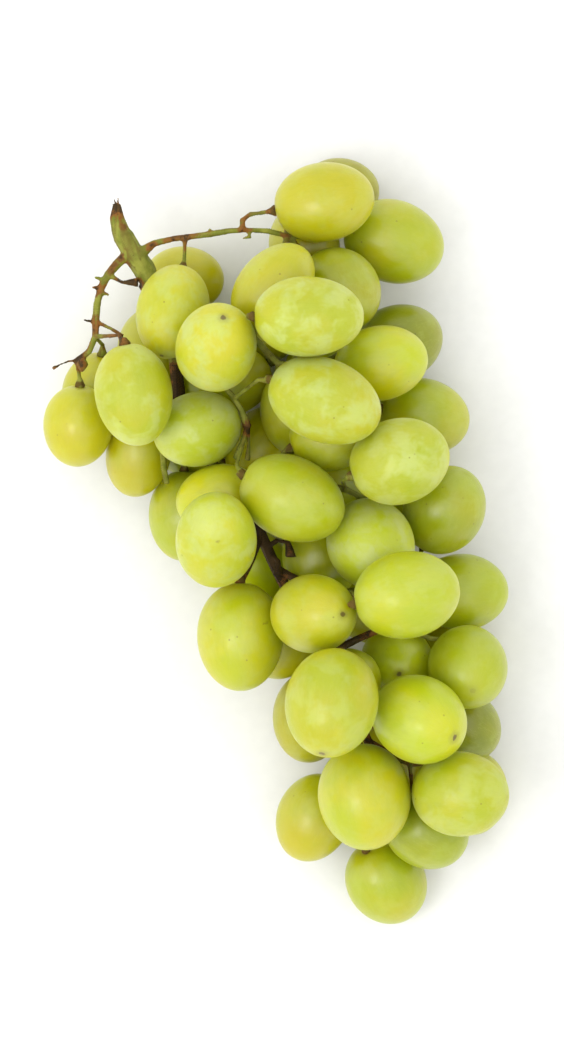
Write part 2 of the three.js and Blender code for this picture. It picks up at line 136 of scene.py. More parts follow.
def spread(berry):
    """The matrix b*b*I + (a*a - b*b) u u' of an ellipsoid of revolution: its
    diagonal holds the squares of how far it reaches along X, Y and Z."""
    a, b, u = berry["a"], berry["b"], berry["axis"]
    return b * b * np.eye(3) + (a * a - b * b) * np.outer(u, u)


for berry in berries.values():
    reach = np.sqrt(np.diag(spread(berry))) + GROWTH
    over = np.maximum(berry["centre"] + reach - CAD_HIGH, 0)
    under = np.maximum(CAD_LOW - (berry["centre"] - reach), 0) * SIDES_ONLY
    berry["centre"] = berry["centre"] - over / 2 + under / 2
    shrink = max(over.max(), under.max()) / 2
    berry["a"] -= shrink
    berry["b"] -= shrink
    berry["inverse"] = np.linalg.inv(spread(berry))


def depth_in(points, berry):
    """How far points stand off a berry's skin, to first order, and the outward
    normals: with f the size of a point in the berry's own units, 1 on its skin,
    the distance is (f - 1) over the length of f's slope."""
    offset = points - berry["centre"]
    slope = offset @ berry["inverse"]
    size = np.sqrt((slope * offset).sum(axis=1))
    steep = np.linalg.norm(slope, axis=1)
    return (size - 1) * size / steep, slope / steep[:, None]


print("skins grown by", GROWTH / MM, "mm")

# %% [markdown]
# ## The skin of a berry as a surface of two parameters
#
# A ball or a subdivided cube could be stretched, but a berry is a body of
# revolution with two different ends, so a meridian carried round the axis says
# it best: `along` runs from the stalk end to the blossom end and `around`
# round the axis. The stalk end is dented round its pad, and the blossom end
# has a small flat scar. A few slow waves, drawn from a generator seeded with
# the berry's number, keep two berries from being alike.

# %% The berry surface
AROUND, ALONG = 64, 40
TAPER = 0.025  # half of the difference in width between the two ends
DENT_DEPTH, DENT_WIDTH = 0.45 * MM, 1.9 * MM
SCAR_DEPTH, SCAR_WIDTH = 0.14 * MM, 0.55 * MM
LUMP, LUMP_RATE = 0.13 * MM, 1.6  # height of the waves, and how fast they change
SMALL_GAP = 0.02 * MM  # left between two skins that press on each other
GIVEN = 0.55  # share of what is missing that each side gives


def berry_grid():
    """Angles from the stalk end and round the axis, one row for each inner ring."""
    from_stalk = np.pi * np.arange(1, ALONG) / ALONG
    return np.meshgrid(from_stalk, 2 * np.pi * np.arange(AROUND) / AROUND, indexing="ij")


def grid_faces(rings, sides):
    """Faces of a closed grid: quads between rings, and a fan at each pole. The
    poles are the last two points."""
    ring, side = np.meshgrid(np.arange(rings - 1), np.arange(sides), indexing="ij")
    here, beside = ring * sides + side, ring * sides + (side + 1) % sides
    quads = np.stack([here, here + sides, beside + sides, beside], axis=-1).reshape(-1, 4)
    side = np.arange(sides)
    first, last = rings * sides, rings * sides + 1
    bottom = (rings - 1) * sides
    near = np.stack([np.full(sides, first), side, (side + 1) % sides], axis=1)
    far = np.stack([np.full(sides, last), bottom + (side + 1) % sides, bottom + side], axis=1)
    return quads.tolist() + near.tolist() + far.tolist()


def across(axis):
    """Two unit vectors square to an axis and to each other."""
    upright = abs(axis[2]) >= 0.9  # so the helper is never along the axis
    helper = np.array([1.0, 0, 0]) if upright else np.array([0, 0, 1.0])
    side = np.cross(axis, helper)
    side /= np.linalg.norm(side)
    return side, np.cross(axis, side)


def berry_points(berry, seed):
    """Points of a berry's skin, its rings first and then its two poles.

    At an angle t from the stalk end and w round the axis, the point lies
    -a cos t along the axis and b sin t (1 + taper cos t) out from it. Dents
    exp(-(r / width)^2) press both poles in, r being the distance from the axis,
    and three slow waves move the skin in and out.
    """
    t, w = berry_grid()
    t = np.concatenate([t.ravel(), [0, np.pi]])
    w = np.concatenate([w.ravel(), [0, 0]])
    a, b = berry["a"] + GROWTH, berry["b"] + GROWTH
    radius = b * np.sin(t) * (1 + TAPER * np.cos(t))
    near = DENT_DEPTH * np.exp(-((radius / DENT_WIDTH) ** 2)) * (t < np.pi / 2)
    far = SCAR_DEPTH * np.exp(-((radius / SCAR_WIDTH) ** 2)) * (t > np.pi / 2)
    height = -a * np.cos(t) + near - far
    side, up = across(berry["axis"])
    points = (
        berry["centre"]
        + np.outer(height, berry["axis"])
        + np.outer(radius * np.cos(w), side)
        + np.outer(radius * np.sin(w), up)
    )
    rng = np.random.default_rng(seed)
    outward = points - berry["centre"]
    outward /= np.linalg.norm(outward, axis=1)[:, None]
    waves = rng.normal(size=(3, 3)) * LUMP_RATE
    lumps = np.cos(outward @ waves.T + rng.uniform(0, 2 * np.pi, 3)).mean(axis=1)
    return points + outward * (LUMP * lumps)[:, None]


def give_way(points, berry, others):
    """Moves points that are too near to a neighbour inwards, along their own
    normals, and lifts those that are below the surface."""
    for other in others:
        off, _ = depth_in(points, other)
        _, outward = depth_in(points, berry)
        missing = np.maximum(GROWTH + SMALL_GAP - off, 0)
        points = points - outward * (missing * GIVEN)[:, None]
    points[:, 2] = np.maximum(points[:, 2], 0)
    return points


print("a berry has", (ALONG - 1) * AROUND + 2, "points")

# %% [markdown]
# ## Colour that belongs to a berry
#
# One skin material can serve every berry, if each berry carries what is its
# own in its mesh: how yellow it has ripened, where the sun has blushed it
# amber, how much bloom it has kept, how plain its scar is, its few blemishes,
# a painted light and shade that darkens berries lying low in shade and
# lightens some that stand in more light, and the two angles of its surface,
# which guide the veins and mark both ends.
# Berries low in the bunch get less of the pale bloom than those on top, which paints shade on
# the low berries and light on the top ones. Those that stand
# out are named here, and the rest are drawn from a seeded generator.

# %% Traits of the berries
# by the number of the berry: ripeness from green to yellow
RIPENESS = {
    1: 1.0, 2: 1.0, 4: 1.0, 6: 0.8, 7: 0.85, 8: 0.8, 10: 0.8, 11: 0.8, 12: 0.8, 13: 0.9,
    14: 0.75, 15: 0.35, 16: 0.5, 17: 0.15, 24: 0.05, 28: 0.3, 30: 0.3, 32: 0.0, 33: 0.25,
    37: 0.3, 38: 0.15, 39: 0.7, 42: 0.1, 46: 0.5, 47: 0.9, 48: 0.2, 50: 0.1, 53: 0.5,
    56: 0.45, 57: 0.2, 59: 0.9,
}
# bloom from rubbed off to thick
BLOOM = {
    9: 1.0, 12: 0.8, 14: 1.0, 15: 1.2, 18: 1.1, 24: 1.3, 27: 1.0, 30: 1.2, 32: 1.3, 46: 0.6,
    54: 0.7,
}
# amber blush: its strength, and the direction that it faces
BLUSH = {
    7: (0.45, (-0.3, -0.6, 0.7)),
    10: (0.55, (-0.7, -0.3, 0.6)),
    56: (0.6, (-0.5, -0.7, 0.5)),
    30: (0.3, (-0.9, -0.2, 0.3)),
    9: (0.15, (-0.5, 0.5, 0.6)),
}

# painted light and shade: how much a berry's colour is darkened where it lies low in shade, or
# lightened where it stands in more light, where it isn't 1
PAINTED_LIGHT_AND_SHADE = {
    1.35: (34, 42, 43),
    1.2: (16, 25, 32, 48),
    1.1: (7, 12, 14, 24, 27, 37, 40, 53),
    0.85: (5, 33, 47, 57),
    0.65: (2, 17, 49),
}
# berries whose scar shows plainly
SCARRED = {12, 14, 39, 42, 46, 48}
# blemishes: x, y, z and reach in mm
BLEMISHES = [
    (-14.0, -0.2, 60.8, 0.9),
    (-2.5, -20.2, 40.8, 0.8),
    (18.0, 27.8, 63.9, 0.8),
    (-25.0, 19.8, 37.6, 0.5),
]
# the rest: ripeness, bloom that grows towards the top of the bunch (painted light on top,
# painted shade low down) and its spread, blush, scar
MIDDLING = (0.35, 0.65)
BLOOM_AND_PAINTED_LIGHT_ON_TOP, BLOOM_SPREAD = 0.65, (-0.05, 0.15)
FAINT_BLUSH, FAINT_SCAR = (0, 0.12), (0, 0.3)
BLUSH_BEYOND = 0.35  # how far a blush reaches past the half of the berry that it faces
BLUSH_FALL = 1.5  # power that lets it fade away from its middle
TRAIT_SEED, MARK_SEED = 1000, 2000


def traits_of(number, points, berry):
    """Ripeness, blush and bloom at each point."""
    rng = np.random.default_rng(TRAIT_SEED + number)
    ripeness = RIPENESS.get(number, rng.uniform(*MIDDLING))
    # bloom grows with the berry's height: painted light on the top berries, painted shade on
    # the low ones
    bloom_with_painted_light_by_height = BLOOM_AND_PAINTED_LIGHT_ON_TOP * berry["centre"][2] / CAD_HIGH[2]
    bloom = BLOOM.get(number, bloom_with_painted_light_by_height + rng.uniform(*BLOOM_SPREAD))
    strength, facing = BLUSH.get(number, (rng.uniform(*FAINT_BLUSH), rng.normal(size=3)))
    facing = np.array(facing) / np.linalg.norm(facing)
    outward = points - berry["centre"]
    outward /= np.linalg.norm(outward, axis=1)[:, None]
    towards = (outward @ facing + BLUSH_BEYOND) / (1 + BLUSH_BEYOND)
    blush = strength * np.clip(towards, 0, 1) ** BLUSH_FALL
    ones = np.ones(len(points))
    return np.stack([ripeness * ones, blush, bloom * ones], axis=1)


def marks_of(number, points):
    """How plain the scar at the blossom end is, how near a small blemish lies,
    and the painted light and shade of the berry, which darkens berries low in
    shade and lightens some that stand in more light."""
    rng = np.random.default_rng(MARK_SEED + number)
    scarred = 1.0 if number in SCARRED else rng.uniform(*FAINT_SCAR)
    spots = np.array(BLEMISHES) * MM
    near = np.linalg.norm(points[:, None] - spots[:, :3], axis=2) / spots[:, 3]
    blemish = np.exp(-(near**2)).max(axis=1)
    painted_light_and_shade = next((value for value, group in PAINTED_LIGHT_AND_SHADE.items() if number in group), 1.0)
    ones = np.ones(len(points))
    return np.stack([scarred * ones, blemish, painted_light_and_shade * ones], axis=1)


def meridians_of_grid():
    """(cos w, sin w, share of the way to the blossom end) at each point, which
    has no seam, unlike an angle."""
    t, w = berry_grid()
    rings = np.stack([np.cos(w), np.sin(w), t / np.pi], axis=-1).reshape(-1, 3)
    return np.concatenate([rings, [[0, 0, 0], [0, 0, 1]]])


def put_attribute(mesh, name, values):
    """Stores three numbers for each point of a mesh."""
    attribute = mesh.attributes.new(name, "FLOAT_VECTOR", "POINT")
    attribute.data.foreach_set("vector", values.ravel())


def link(name, data):
    """A new object in the scene, at the origin and unturned."""
    thing = bpy.data.objects.new(name, data)
    bpy.context.scene.collection.objects.link(thing)
    return thing


def mesh_of(name, points, faces):
    """A mesh of points and faces."""
    mesh = bpy.data.meshes.new(name)
    mesh.from_pydata(points, [], faces)
    return mesh


def make_piece(name, mesh, material):
    """A smooth-shaded mesh object with one material. Its place is in its mesh."""
    mesh.polygons.foreach_set("use_smooth", np.ones(len(mesh.polygons), dtype=bool))
    mesh.materials.append(material)
    return link(name, mesh)


print(len(SCARRED), "plain scars and", len(BLEMISHES), "blemishes")

# %% [markdown]
# ## Nodes in few words
#
# A material is a chain of small steps, so a little class adds a node, fills
# its sockets and hands on its result. Each texture reads object coordinates,
# in metres, or an attribute of the mesh, so that it stays put when the bunch
# is turned or looked at from another side.


# %% A helper for shader nodes
class Shader:
    """Builds one material, node by node."""

    def __init__(self, name):
        self.material = bpy.data.materials.new(name)
        self.material.use_nodes = True
        self.tree = self.material.node_tree
        self.tree.nodes.clear()

    def add(self, kind, inputs, output=0, **settings):
        """A new node. inputs maps a socket's name or number to a value or to
        another node's output."""
        node = self.tree.nodes.new("ShaderNode" + kind)
        for key, value in settings.items():
            setattr(node, key, value)
        for key, value in inputs.items():
            if isinstance(value, bpy.types.NodeSocket):
                self.tree.links.new(value, node.inputs[key])
            else:
                node.inputs[key].default_value = value
        return node.outputs[output] if node.outputs else None

    def attribute(self, name):
        return self.add("Attribute", {}, "Vector", attribute_name=name)

    def place(self):
        return self.add("TexCoord", {}, "Object")

    def split(self, vector):
        """The three parts of a vector."""
        first = self.add("SeparateXYZ", {0: vector})
        return [first] + [first.node.outputs[i] for i in (1, 2)]

    def stretch(self, vector, scale):
        return self.add("VectorMath", {0: vector, 1: scale}, operation="MULTIPLY")

    def noise(self, vector, scale, detail=2.0, roughness=0.5, distortion=0.0):
        inputs = {"Vector": vector, "Scale": scale, "Detail": detail}
        return self.add("TexNoise", inputs | {"Roughness": roughness, "Distortion": distortion})

    def cells(self, vector, scale):
        """Distance from a scattered point, in the size of a cell."""
        return self.add("TexVoronoi", {"Vector": vector, "Scale": scale})

    def map(self, value, low, high, to_low=0.0, to_high=1.0):
        """Moves a value from one range to another, held at the ends."""
        inputs = {0: value, 1: low, 2: high, 3: to_low, 4: to_high}
        return self.add("MapRange", inputs, interpolation_type="SMOOTHSTEP")

    def math(self, operation, first, second=0.0):
        return self.add("Math", {0: first, 1: second}, operation=operation)

    def mix(self, share, first, second):
        """A colour between two others."""
        return self.add("Mix", {0: share, 6: first, 7: second}, 2, data_type="RGBA")

    def bump(self, height, distance, strength):
        return self.add("Bump", {"Height": height, "Distance": distance, "Strength": strength})

    def finish(self, inputs, **settings):
        """Ends the chain in one principled shader."""
        surface = self.add("BsdfPrincipled", inputs, **settings)
        self.add("OutputMaterial", {"Surface": surface})
        return self.material


print("shader helper ready")

# %% [markdown]
# ## The skin of a white grape
#
# A painted colour would look like plastic. Light goes in through the thin
# skin, scatters in the wet flesh and comes out yellower, so most of the look
# is subsurface scattering with a long reach in red and green and a short one
# in blue. On top of it lie the details that a real skin shows: slow patches
# from green to yellow, pale clouds and a dusty film of bloom that is rubbed off
# in places, faint streaks and veins from end to end, small brown specks, and a
# brown scar at the blossom end. Where bloom lies the skin is pale and rough,
# and where it is gone the skin is glossier and its colour deeper.


# %% Skin materials
CLOUD, STREAK, VEIN = (0.43, 0.49, 0.18, 1), (0.24, 0.30, 0.003, 1), (0.44, 0.46, 0.08, 1)
TAN, FILM, SPECK = (0.42, 0.35, 0.006, 1), (0.42, 0.45, 0.08, 1), (0.12, 0.08, 0.02, 1)
BLEMISH, SCAR_RING = (0.14, 0.10, 0.015, 1), (0.22, 0.20, 0.06, 1)
SCAR, COLLAR = (0.10, 0.06, 0.02, 1), (0.26, 0.22, 0.03, 1)


def skin_material(name, green, yellow):
    """Skin whose flesh goes from green to yellow as the berry ripens."""
    s = Shader(name)
    place = s.place()
    ripeness, blush, bloom = s.split(s.attribute("traits"))
    meridian = s.attribute("meridian")
    along = s.split(meridian)[2]
    scarred, blemish, painted_light_and_shade = s.split(s.attribute("marks"))

    patches = s.noise(place, 75, 3)
    share = s.math("ADD", ripeness, s.map(patches, 0.3, 0.7, -0.25, 0.25))
    colour = s.mix(s.map(share, 0.0, 1.0), green, yellow)
    # painted light and shade: each berry's colour is scaled darker where it lies low in shade,
    # lighter where it stands in more light
    colour = s.add("VectorMath", {0: colour, "Scale": painted_light_and_shade}, operation="SCALE")

    # pale clouds where there is bloom, and faint darker streaks from end to end
    cloud = s.map(s.noise(place, 140, 3, 0.6, 0.25), 0.42, 0.64)
    cloud = s.math("MULTIPLY", cloud, s.map(bloom, 0.2, 1.3, 0.2, 0.9))
    colour = s.mix(cloud, colour, CLOUD)
    streaks = s.noise(s.stretch(meridian, (2.4, 2.4, 3.0)), 2.2, 5, 0.62, 1.4)
    colour = s.mix(s.map(streaks, 0.44, 0.62, 0.0, 0.1), colour, STREAK)

    # veins: thin lines where a slow pattern crosses its middle value
    veins = s.noise(s.stretch(meridian, (3.4, 3.4, 2.2)), 2.6, 3, 0.6, 0.35)
    lines = s.map(s.math("ABSOLUTE", s.math("SUBTRACT", veins, 0.5)), 0.0, 0.03, 1.0, 0.0)
    colour = s.mix(s.math("MULTIPLY", lines, 0.16), colour, VEIN)

    # the side that the sun has blushed, in uneven patches
    tan = s.math("MULTIPLY", blush, s.map(s.noise(place, 160, 4, 0.6), 0.3, 0.6, 0.35, 1.0))
    colour = s.mix(tan, colour, TAN)

    # the film of bloom, and the places where it has been rubbed off
    dust = s.map(s.noise(place, 210, 5, 0.62, 0.4), 0.36, 0.62, 0.25, 1.0)
    rubbed = s.noise(s.stretch(place, (1, 0.45, 1)), 420, 3, 0.6)
    film = s.math("MULTIPLY", dust, s.map(rubbed, 0.35, 0.5, 0.6, 1.0))
    film = s.math("MULTIPLY", film, bloom)
    colour = s.mix(s.math("MULTIPLY", film, 0.3), colour, FILM)

    # specks in some places only, and ragged blemishes
    specks = s.map(s.cells(place, 330), 0.05, 0.11, 1.0, 0.0)
    few = s.map(s.noise(place, 90, 1), 0.52, 0.6)
    specks = s.math("MULTIPLY", s.math("MULTIPLY", specks, few), 0.5)
    colour = s.mix(specks, colour, SPECK)
    ragged = s.math("ADD", blemish, s.map(s.noise(place, 700, 3), 0.3, 0.7, -0.2, 0.2))
    colour = s.mix(s.map(ragged, 0.35, 0.75, 0.0, 0.55), colour, BLEMISH)

    # the scar and its pale ring at the blossom end, and a collar round the pad
    end = s.math("ADD", along, s.map(s.noise(place, 900, 2), 0.3, 0.7, -0.006, 0.006))
    scar = s.math("MULTIPLY", s.map(end, 0.972, 0.984), scarred)
    ring = s.math("MULTIPLY", s.map(end, 0.93, 0.97, 0.0, 0.35), scarred)
    colour = s.mix(ring, colour, SCAR_RING)
    colour = s.mix(s.math("MULTIPLY", scar, 0.8), colour, SCAR)
    colour = s.mix(s.map(along, 0.03, 0.075, 0.5, 0.0), colour, COLLAR)

    # fine grain, veins, specks and slow swells, and bloom that dulls the shine
    fine = s.noise(place, 1500, 3, 0.6)
    height = s.math("ADD", s.math("MULTIPLY", fine, 0.5), s.math("MULTIPLY", lines, 0.25))
    height = s.math("ADD", height, s.math("MULTIPLY", specks, 0.6))
    height = s.math("ADD", height, s.math("MULTIPLY", s.noise(place, 200, 2), 7.0))
    under_film = s.map(film, 0.1, 0.7, 0.3, 0.52)
    dull = s.math("MAXIMUM", under_film, s.map(cloud, 0.0, 0.5, 0.3, 0.46))
    roughness = s.math("ADD", dull, s.math("MULTIPLY", specks, 0.3))
    return s.finish(
        {
            "Base Color": colour,
            "Roughness": roughness,
            "IOR": 1.45,
            "Specular IOR Level": 0.7,
            "Subsurface Weight": 1.0,
            "Subsurface Radius": (1.0, 0.95, 0.15),
            "Subsurface Scale": 21 * MM,
            "Subsurface Anisotropy": 0.7,
            "Normal": s.bump(height, 0.06 * MM, 0.5),
        },
        subsurface_method="RANDOM_WALK",
    )


GREEN, YELLOW = (0.332, 0.388, 0.002, 1), (0.425, 0.398, 0.002, 1)
AMBER_GREEN, AMBER_YELLOW = (0.375, 0.395, 0.002, 1), (0.41, 0.395, 0.002, 1)
skin = skin_material("grape_skin", GREEN, YELLOW)
amber_skin = skin_material("grape_skin_amber", AMBER_GREEN, AMBER_YELLOW)
print("skins:", skin.name, "and", amber_skin.name)

# %% [markdown]
# ## Building the berries
#
# Each berry is its own piece, because each stands for one solid, and each
# presses only on the few neighbours whose centres are near.

# %% Make each berry
AMBER = ("berry_07", "berry_10", "berry_56")
berry_faces = grid_faces(ALONG - 1, AROUND)
meridians = meridians_of_grid()


def near_to(berry):
    """The other berries that are near enough to touch this one."""
    found = []
    for other in berries.values():
        apart = np.linalg.norm(other["centre"] - berry["centre"])
        if other is not berry and apart < other["a"] + berry["a"] + 2 * GROWTH:
            found.append(other)
    return found


for index, (node, berry) in enumerate(berries.items()):
    number = int(node[-2:])
    points = give_way(berry_points(berry, index), berry, near_to(berry))
    points = np.clip(points, CAD_LOW, CAD_HIGH)
    is_amber = node in AMBER
    mesh = mesh_of(f"grape_{node[-2:]}", points, berry_faces)
    put_attribute(mesh, "meridian", meridians)
    put_attribute(mesh, "traits", traits_of(number, points, berry))
    put_attribute(mesh, "marks", marks_of(number, points))
    piece = make_piece(f"grape_{node[-2:]}", mesh, amber_skin if is_amber else skin)
    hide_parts(node)
    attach(piece, "root")
print(len(berries), "berries of", len(berry_faces), "faces each")

# %% [markdown]
# ## The stem as one skin over many limbs
#
# The stem's solid is a union of many-sided limbs. Rounding its edges one by
# one would leave creases where limbs meet. Real wood flows round a fork, so
# the whole solid, and a lathed pad at each berry, is turned into one fine grid
# of equal cells and smoothed: each point moves towards the middle of its
# neighbours and then a little less far back, which rounds the edges and keeps
# the limbs' thickness.

# %% Pads where the berries sit
PAD_SIDES = 18
PAD_SIZES = (0.88, 1.08)  # from the smallest to the largest
PAD_SEED = 500
# radius at each height off the berry's skin, from under the skin to inside the stalk
PAD_HEIGHTS = np.array([-0.42, -0.2, 0.1, 0.42, 0.8, 1.3, 2.0]) * MM
PAD_RADII = np.array([0.7, 1.15, 1.45, 1.4, 1.2, 0.9, 0.7]) * MM
FIVE_LOBES, TWO_LOBES = 0.07, 0.05  # how far the waves go, as a share of the radius


def stalk_end(berry, sunk=0.0):
    """The point of a berry's skin that its stalk meets, or one sunk below it."""
    return berry["centre"] - berry["axis"] * (berry["a"] + GROWTH - sunk)


def pad_points(berry, seed):
    """A lathed pad: rings of PAD_RADII round the stalk end, whose radius waves
    five times and twice on the way round, and a pole at each end of the axis."""
    rng = np.random.default_rng(PAD_SEED + seed)
    w = 2 * np.pi * np.arange(PAD_SIDES) / PAD_SIDES
    lobes = 1 + FIVE_LOBES * np.cos(5 * w + rng.uniform(0, 6))
    lobes = lobes + TWO_LOBES * np.cos(2 * w + rng.uniform(0, 6))
    radius = PAD_RADII[:, None] * lobes * rng.uniform(*PAD_SIZES)
    side, up = across(berry["axis"])
    foot = stalk_end(berry, DENT_DEPTH)
    ring = radius[..., None] * (np.cos(w)[:, None] * side + np.sin(w)[:, None] * up)
    rings = foot - PAD_HEIGHTS[:, None, None] * berry["axis"] + ring
    poles = foot - PAD_HEIGHTS[[0, -1], None] * berry["axis"]
    return np.concatenate([rings.reshape(-1, 3), poles])


pad_faces = grid_faces(len(PAD_RADII), PAD_SIDES)
print(len(berries), "pads of", len(pad_faces), "faces")

# %% One grid over the whole stem
CELL = 0.34 * MM


def remeshed(points, faces, cell):
    """A new mesh that covers closed, overlapping shells with one skin of equal cells."""
    rough = link("rough", mesh_of("rough", points, faces))
    modifier = rough.modifiers.new("skin", "REMESH")
    modifier.mode = "VOXEL"
    modifier.voxel_size = cell
    depsgraph = bpy.context.evaluated_depsgraph_get()
    covered = bpy.data.meshes.new_from_object(rough.evaluated_get(depsgraph))
    bpy.data.objects.remove(rough)
    return covered


stem_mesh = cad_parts["stem"].data
stem_mesh.calc_loop_triangles()
shells = [rows_of(stem_mesh.vertices, "co", 3)]
shell_faces = rows_of(stem_mesh.loop_triangles, "vertices", 3, np.int32).tolist()
for seed, berry in enumerate(berries.values()):
    start = sum(len(shell) for shell in shells)
    shells.append(pad_points(berry, seed))
    shell_faces += [[start + corner for corner in face] for face in pad_faces]
wood_mesh = remeshed(np.concatenate(shells), shell_faces, CELL)
print("stem grid:", len(wood_mesh.vertices), "points")

# %% [markdown]
# ## Fibres that run along the wood
#
# Bark is drawn out along its limb, and no single axis fits all limbs. But on a
# limb every normal is square to its axis, so the direction in which the nearby
# normals vary least is the limb's own. Random values, averaged again and again
# with those neighbours that lie along that direction, turn into streaks. They
# become shallow ridges, and the material reads them for its colour.

# %% Smooth the stem and grow its fibres
SMOOTHING = (0.6, -0.5) * 8  # steps towards the neighbours' mean and back
AXIS_ROUNDS, FIBRE_ROUNDS = 10, 60
LENGTHWISE = 6  # power that keeps streaks from spreading round the limb
RIDGE = 0.12 * MM
STREAK_LIMIT = 2.5  # standard deviations that make a full ridge

edges = rows_of(wood_mesh.edges, "vertices", 2, np.int64)
here, there = np.concatenate([edges, edges[:, ::-1]]).T
count = len(wood_mesh.vertices)


def gather(values, weights):
    """For each point, the weighted mean of its neighbours' values."""
    total = np.maximum(np.bincount(here, weights, count), 1e-12)
    columns = values.reshape(count, -1).T
    sums = [np.bincount(here, weights * column[there], count) / total for column in columns]
    return np.stack(sums, axis=1).reshape(values.shape)


def move_to(mesh, points):
    """Puts a mesh's points in new places."""
    mesh.vertices.foreach_set("co", points.ravel())
    mesh.update()


even = np.ones(len(here))
wood = rows_of(wood_mesh.vertices, "co", 3)
for step in SMOOTHING:
    wood = wood + step * (gather(wood, even) - wood)
move_to(wood_mesh, wood)

normals = rows_of(wood_mesh.vertices, "normal", 3)
variation = normals[:, :, None] * normals[:, None, :]
for _ in range(AXIS_ROUNDS):
    variation = gather(variation, even)
limb_axis = np.linalg.eigh(variation)[1][:, :, 0]

edge = wood[there] - wood[here]
edge /= np.maximum(np.linalg.norm(edge, axis=1), 1e-9)[:, None]
lengthwise = np.abs((edge * limb_axis[here]).sum(axis=1)) ** LENGTHWISE + 1e-3
fibre = np.random.default_rng(7).normal(size=count)
for _ in range(FIBRE_ROUNDS):
    fibre = gather(fibre, lengthwise)
fibre = (fibre - fibre.mean()) / fibre.std()
fibre = np.clip(fibre, -STREAK_LIMIT, STREAK_LIMIT) / STREAK_LIMIT
wood = np.clip(wood + normals * (RIDGE * fibre)[:, None], CAD_LOW, CAD_HIGH)
move_to(wood_mesh, wood)
print("fibres on", count, "points")

# %% [markdown]
# ## Green wood, brown wood and dried pads
#
# A picked stem dries from its ends and its forks: the thick stalk stays green,
# forks and nodes turn red-brown, dead ends and pads go dark. Those places are
# listed, and each spreads its brown over its reach. The wide spots along the
# main stalk inside the bunch also paint shade: they darken the wood seen
# through the gaps between berries. One number says how far the wood is
# darkened, from green through red-brown to dark brown.

# %% Where the stem has browned
PAD_REACH = 1.6 * MM  # how far a pad's cork spreads over its stalk
# x, y, reach in mm, and how far the wood is darkened by drying and, on the inner stalk, by
# painted shade: 0.6 is red-brown, 1 is dark
BROWNED_AND_SHADED = [
    (-39.7, 82.8, 3.2, 1.0),
    (-38.0, 78.3, 1.6, 0.5),
    (-30.6, 72.9, 2.2, 0.68),
    (-25.8, 74.8, 3.0, 0.7),
    (-22.7, 75.3, 3.4, 0.7),
    (-21.7, 73.3, 1.8, 0.85),
    (-16.5, 76.8, 1.5, 0.4),
    (-8.0, 77.5, 2.4, 0.72),
    (-8.2, 80.0, 1.8, 0.62),
    (-0.5, 82.0, 2.2, 0.95),
    (2.0, 76.3, 2.5, 0.6),
    (7.8, 73.3, 2.8, 1.0),
    (-38.6, 70.8, 2.2, 0.6),
    (-37.0, 69.0, 1.6, 0.5),
    (-40.7, 68.3, 2.6, 0.5),
    (-38.6, 64.3, 1.8, 1.1),
    (-36.2, 64.3, 1.9, 1.15),
    (-34.2, 63.9, 1.6, 1.15),
    (-44.5, 62.5, 2.0, 0.85),
    (-41.5, 62.8, 1.8, 0.95),
    (-45.0, 53.5, 2.8, 0.7),
    (-47.0, 55.0, 1.8, 0.95),
    (-39.0, 49.3, 4.0, 0.9),
    (-36.0, 48.3, 2.2, 0.95),
    (-48.0, 49.0, 2.6, 0.8),
    (-49.0, 45.3, 2.6, 0.85),
    (-48.2, 43.5, 2.2, 0.8),
    (-54.0, 44.0, 4.0, 1.0),
    (-50.7, 37.5, 2.4, 1.0),
    (-24.2, 40.8, 4.5, 1.1),
    (-6.5, 27.8, 2.4, 0.9),
    (-23.9, 38.1, 6.0, 1.1),
    # the inner stalk, seen through gaps between berries: wide dark spots that paint the shade
    # of the gaps as well as drying
    (-3.3, -2.9, 14.0, 1.2),
    (5.1, -12.9, 9.0, 1.15),
    (17.1, -26.9, 11.0, 1.15),
    (23.1, -49.9, 8.0, 0.85),
    (31.1, -61.9, 8.0, 0.85),
    (21.1, -77.9, 5.0, 0.9),
]
spots = np.array(BROWNED_AND_SHADED)
distance = np.linalg.norm(wood[:, None, :2] / MM - spots[:, :2], axis=2)
# brown: drying, and on the inner stalk painted shade of the gaps
brown = (spots[:, 3] * np.exp(-((distance / spots[:, 2]) ** 2))).max(axis=1)
to_pads = [np.linalg.norm(wood - stalk_end(berry), axis=1) for berry in berries.values()]
pad = np.exp(-((np.min(to_pads, axis=0) / PAD_REACH) ** 4))
tone = np.stack([brown, pad, fibre * 0.5 + 0.5], axis=1)
print("darkest spot", round(brown.max(), 2), "of", len(BROWNED_AND_SHADED))

# %% Wood material
GREEN_WOOD, LIGHT_WOOD = (0.15, 0.17, 0.02, 1), (0.27, 0.28, 0.045, 1)
GROOVE, CORK = (0.12, 0.085, 0.016, 1), (0.11, 0.07, 0.014, 1)
RED_BROWN, DEEP_RED_BROWN = (0.22, 0.09, 0.018, 1), (0.14, 0.066, 0.015, 1)
DARK, DARKEST = (0.07, 0.04, 0.013, 1), (0.03, 0.018, 0.007, 1)
WOOD_SPECK = (0.062, 0.0341, 0.0124, 1)


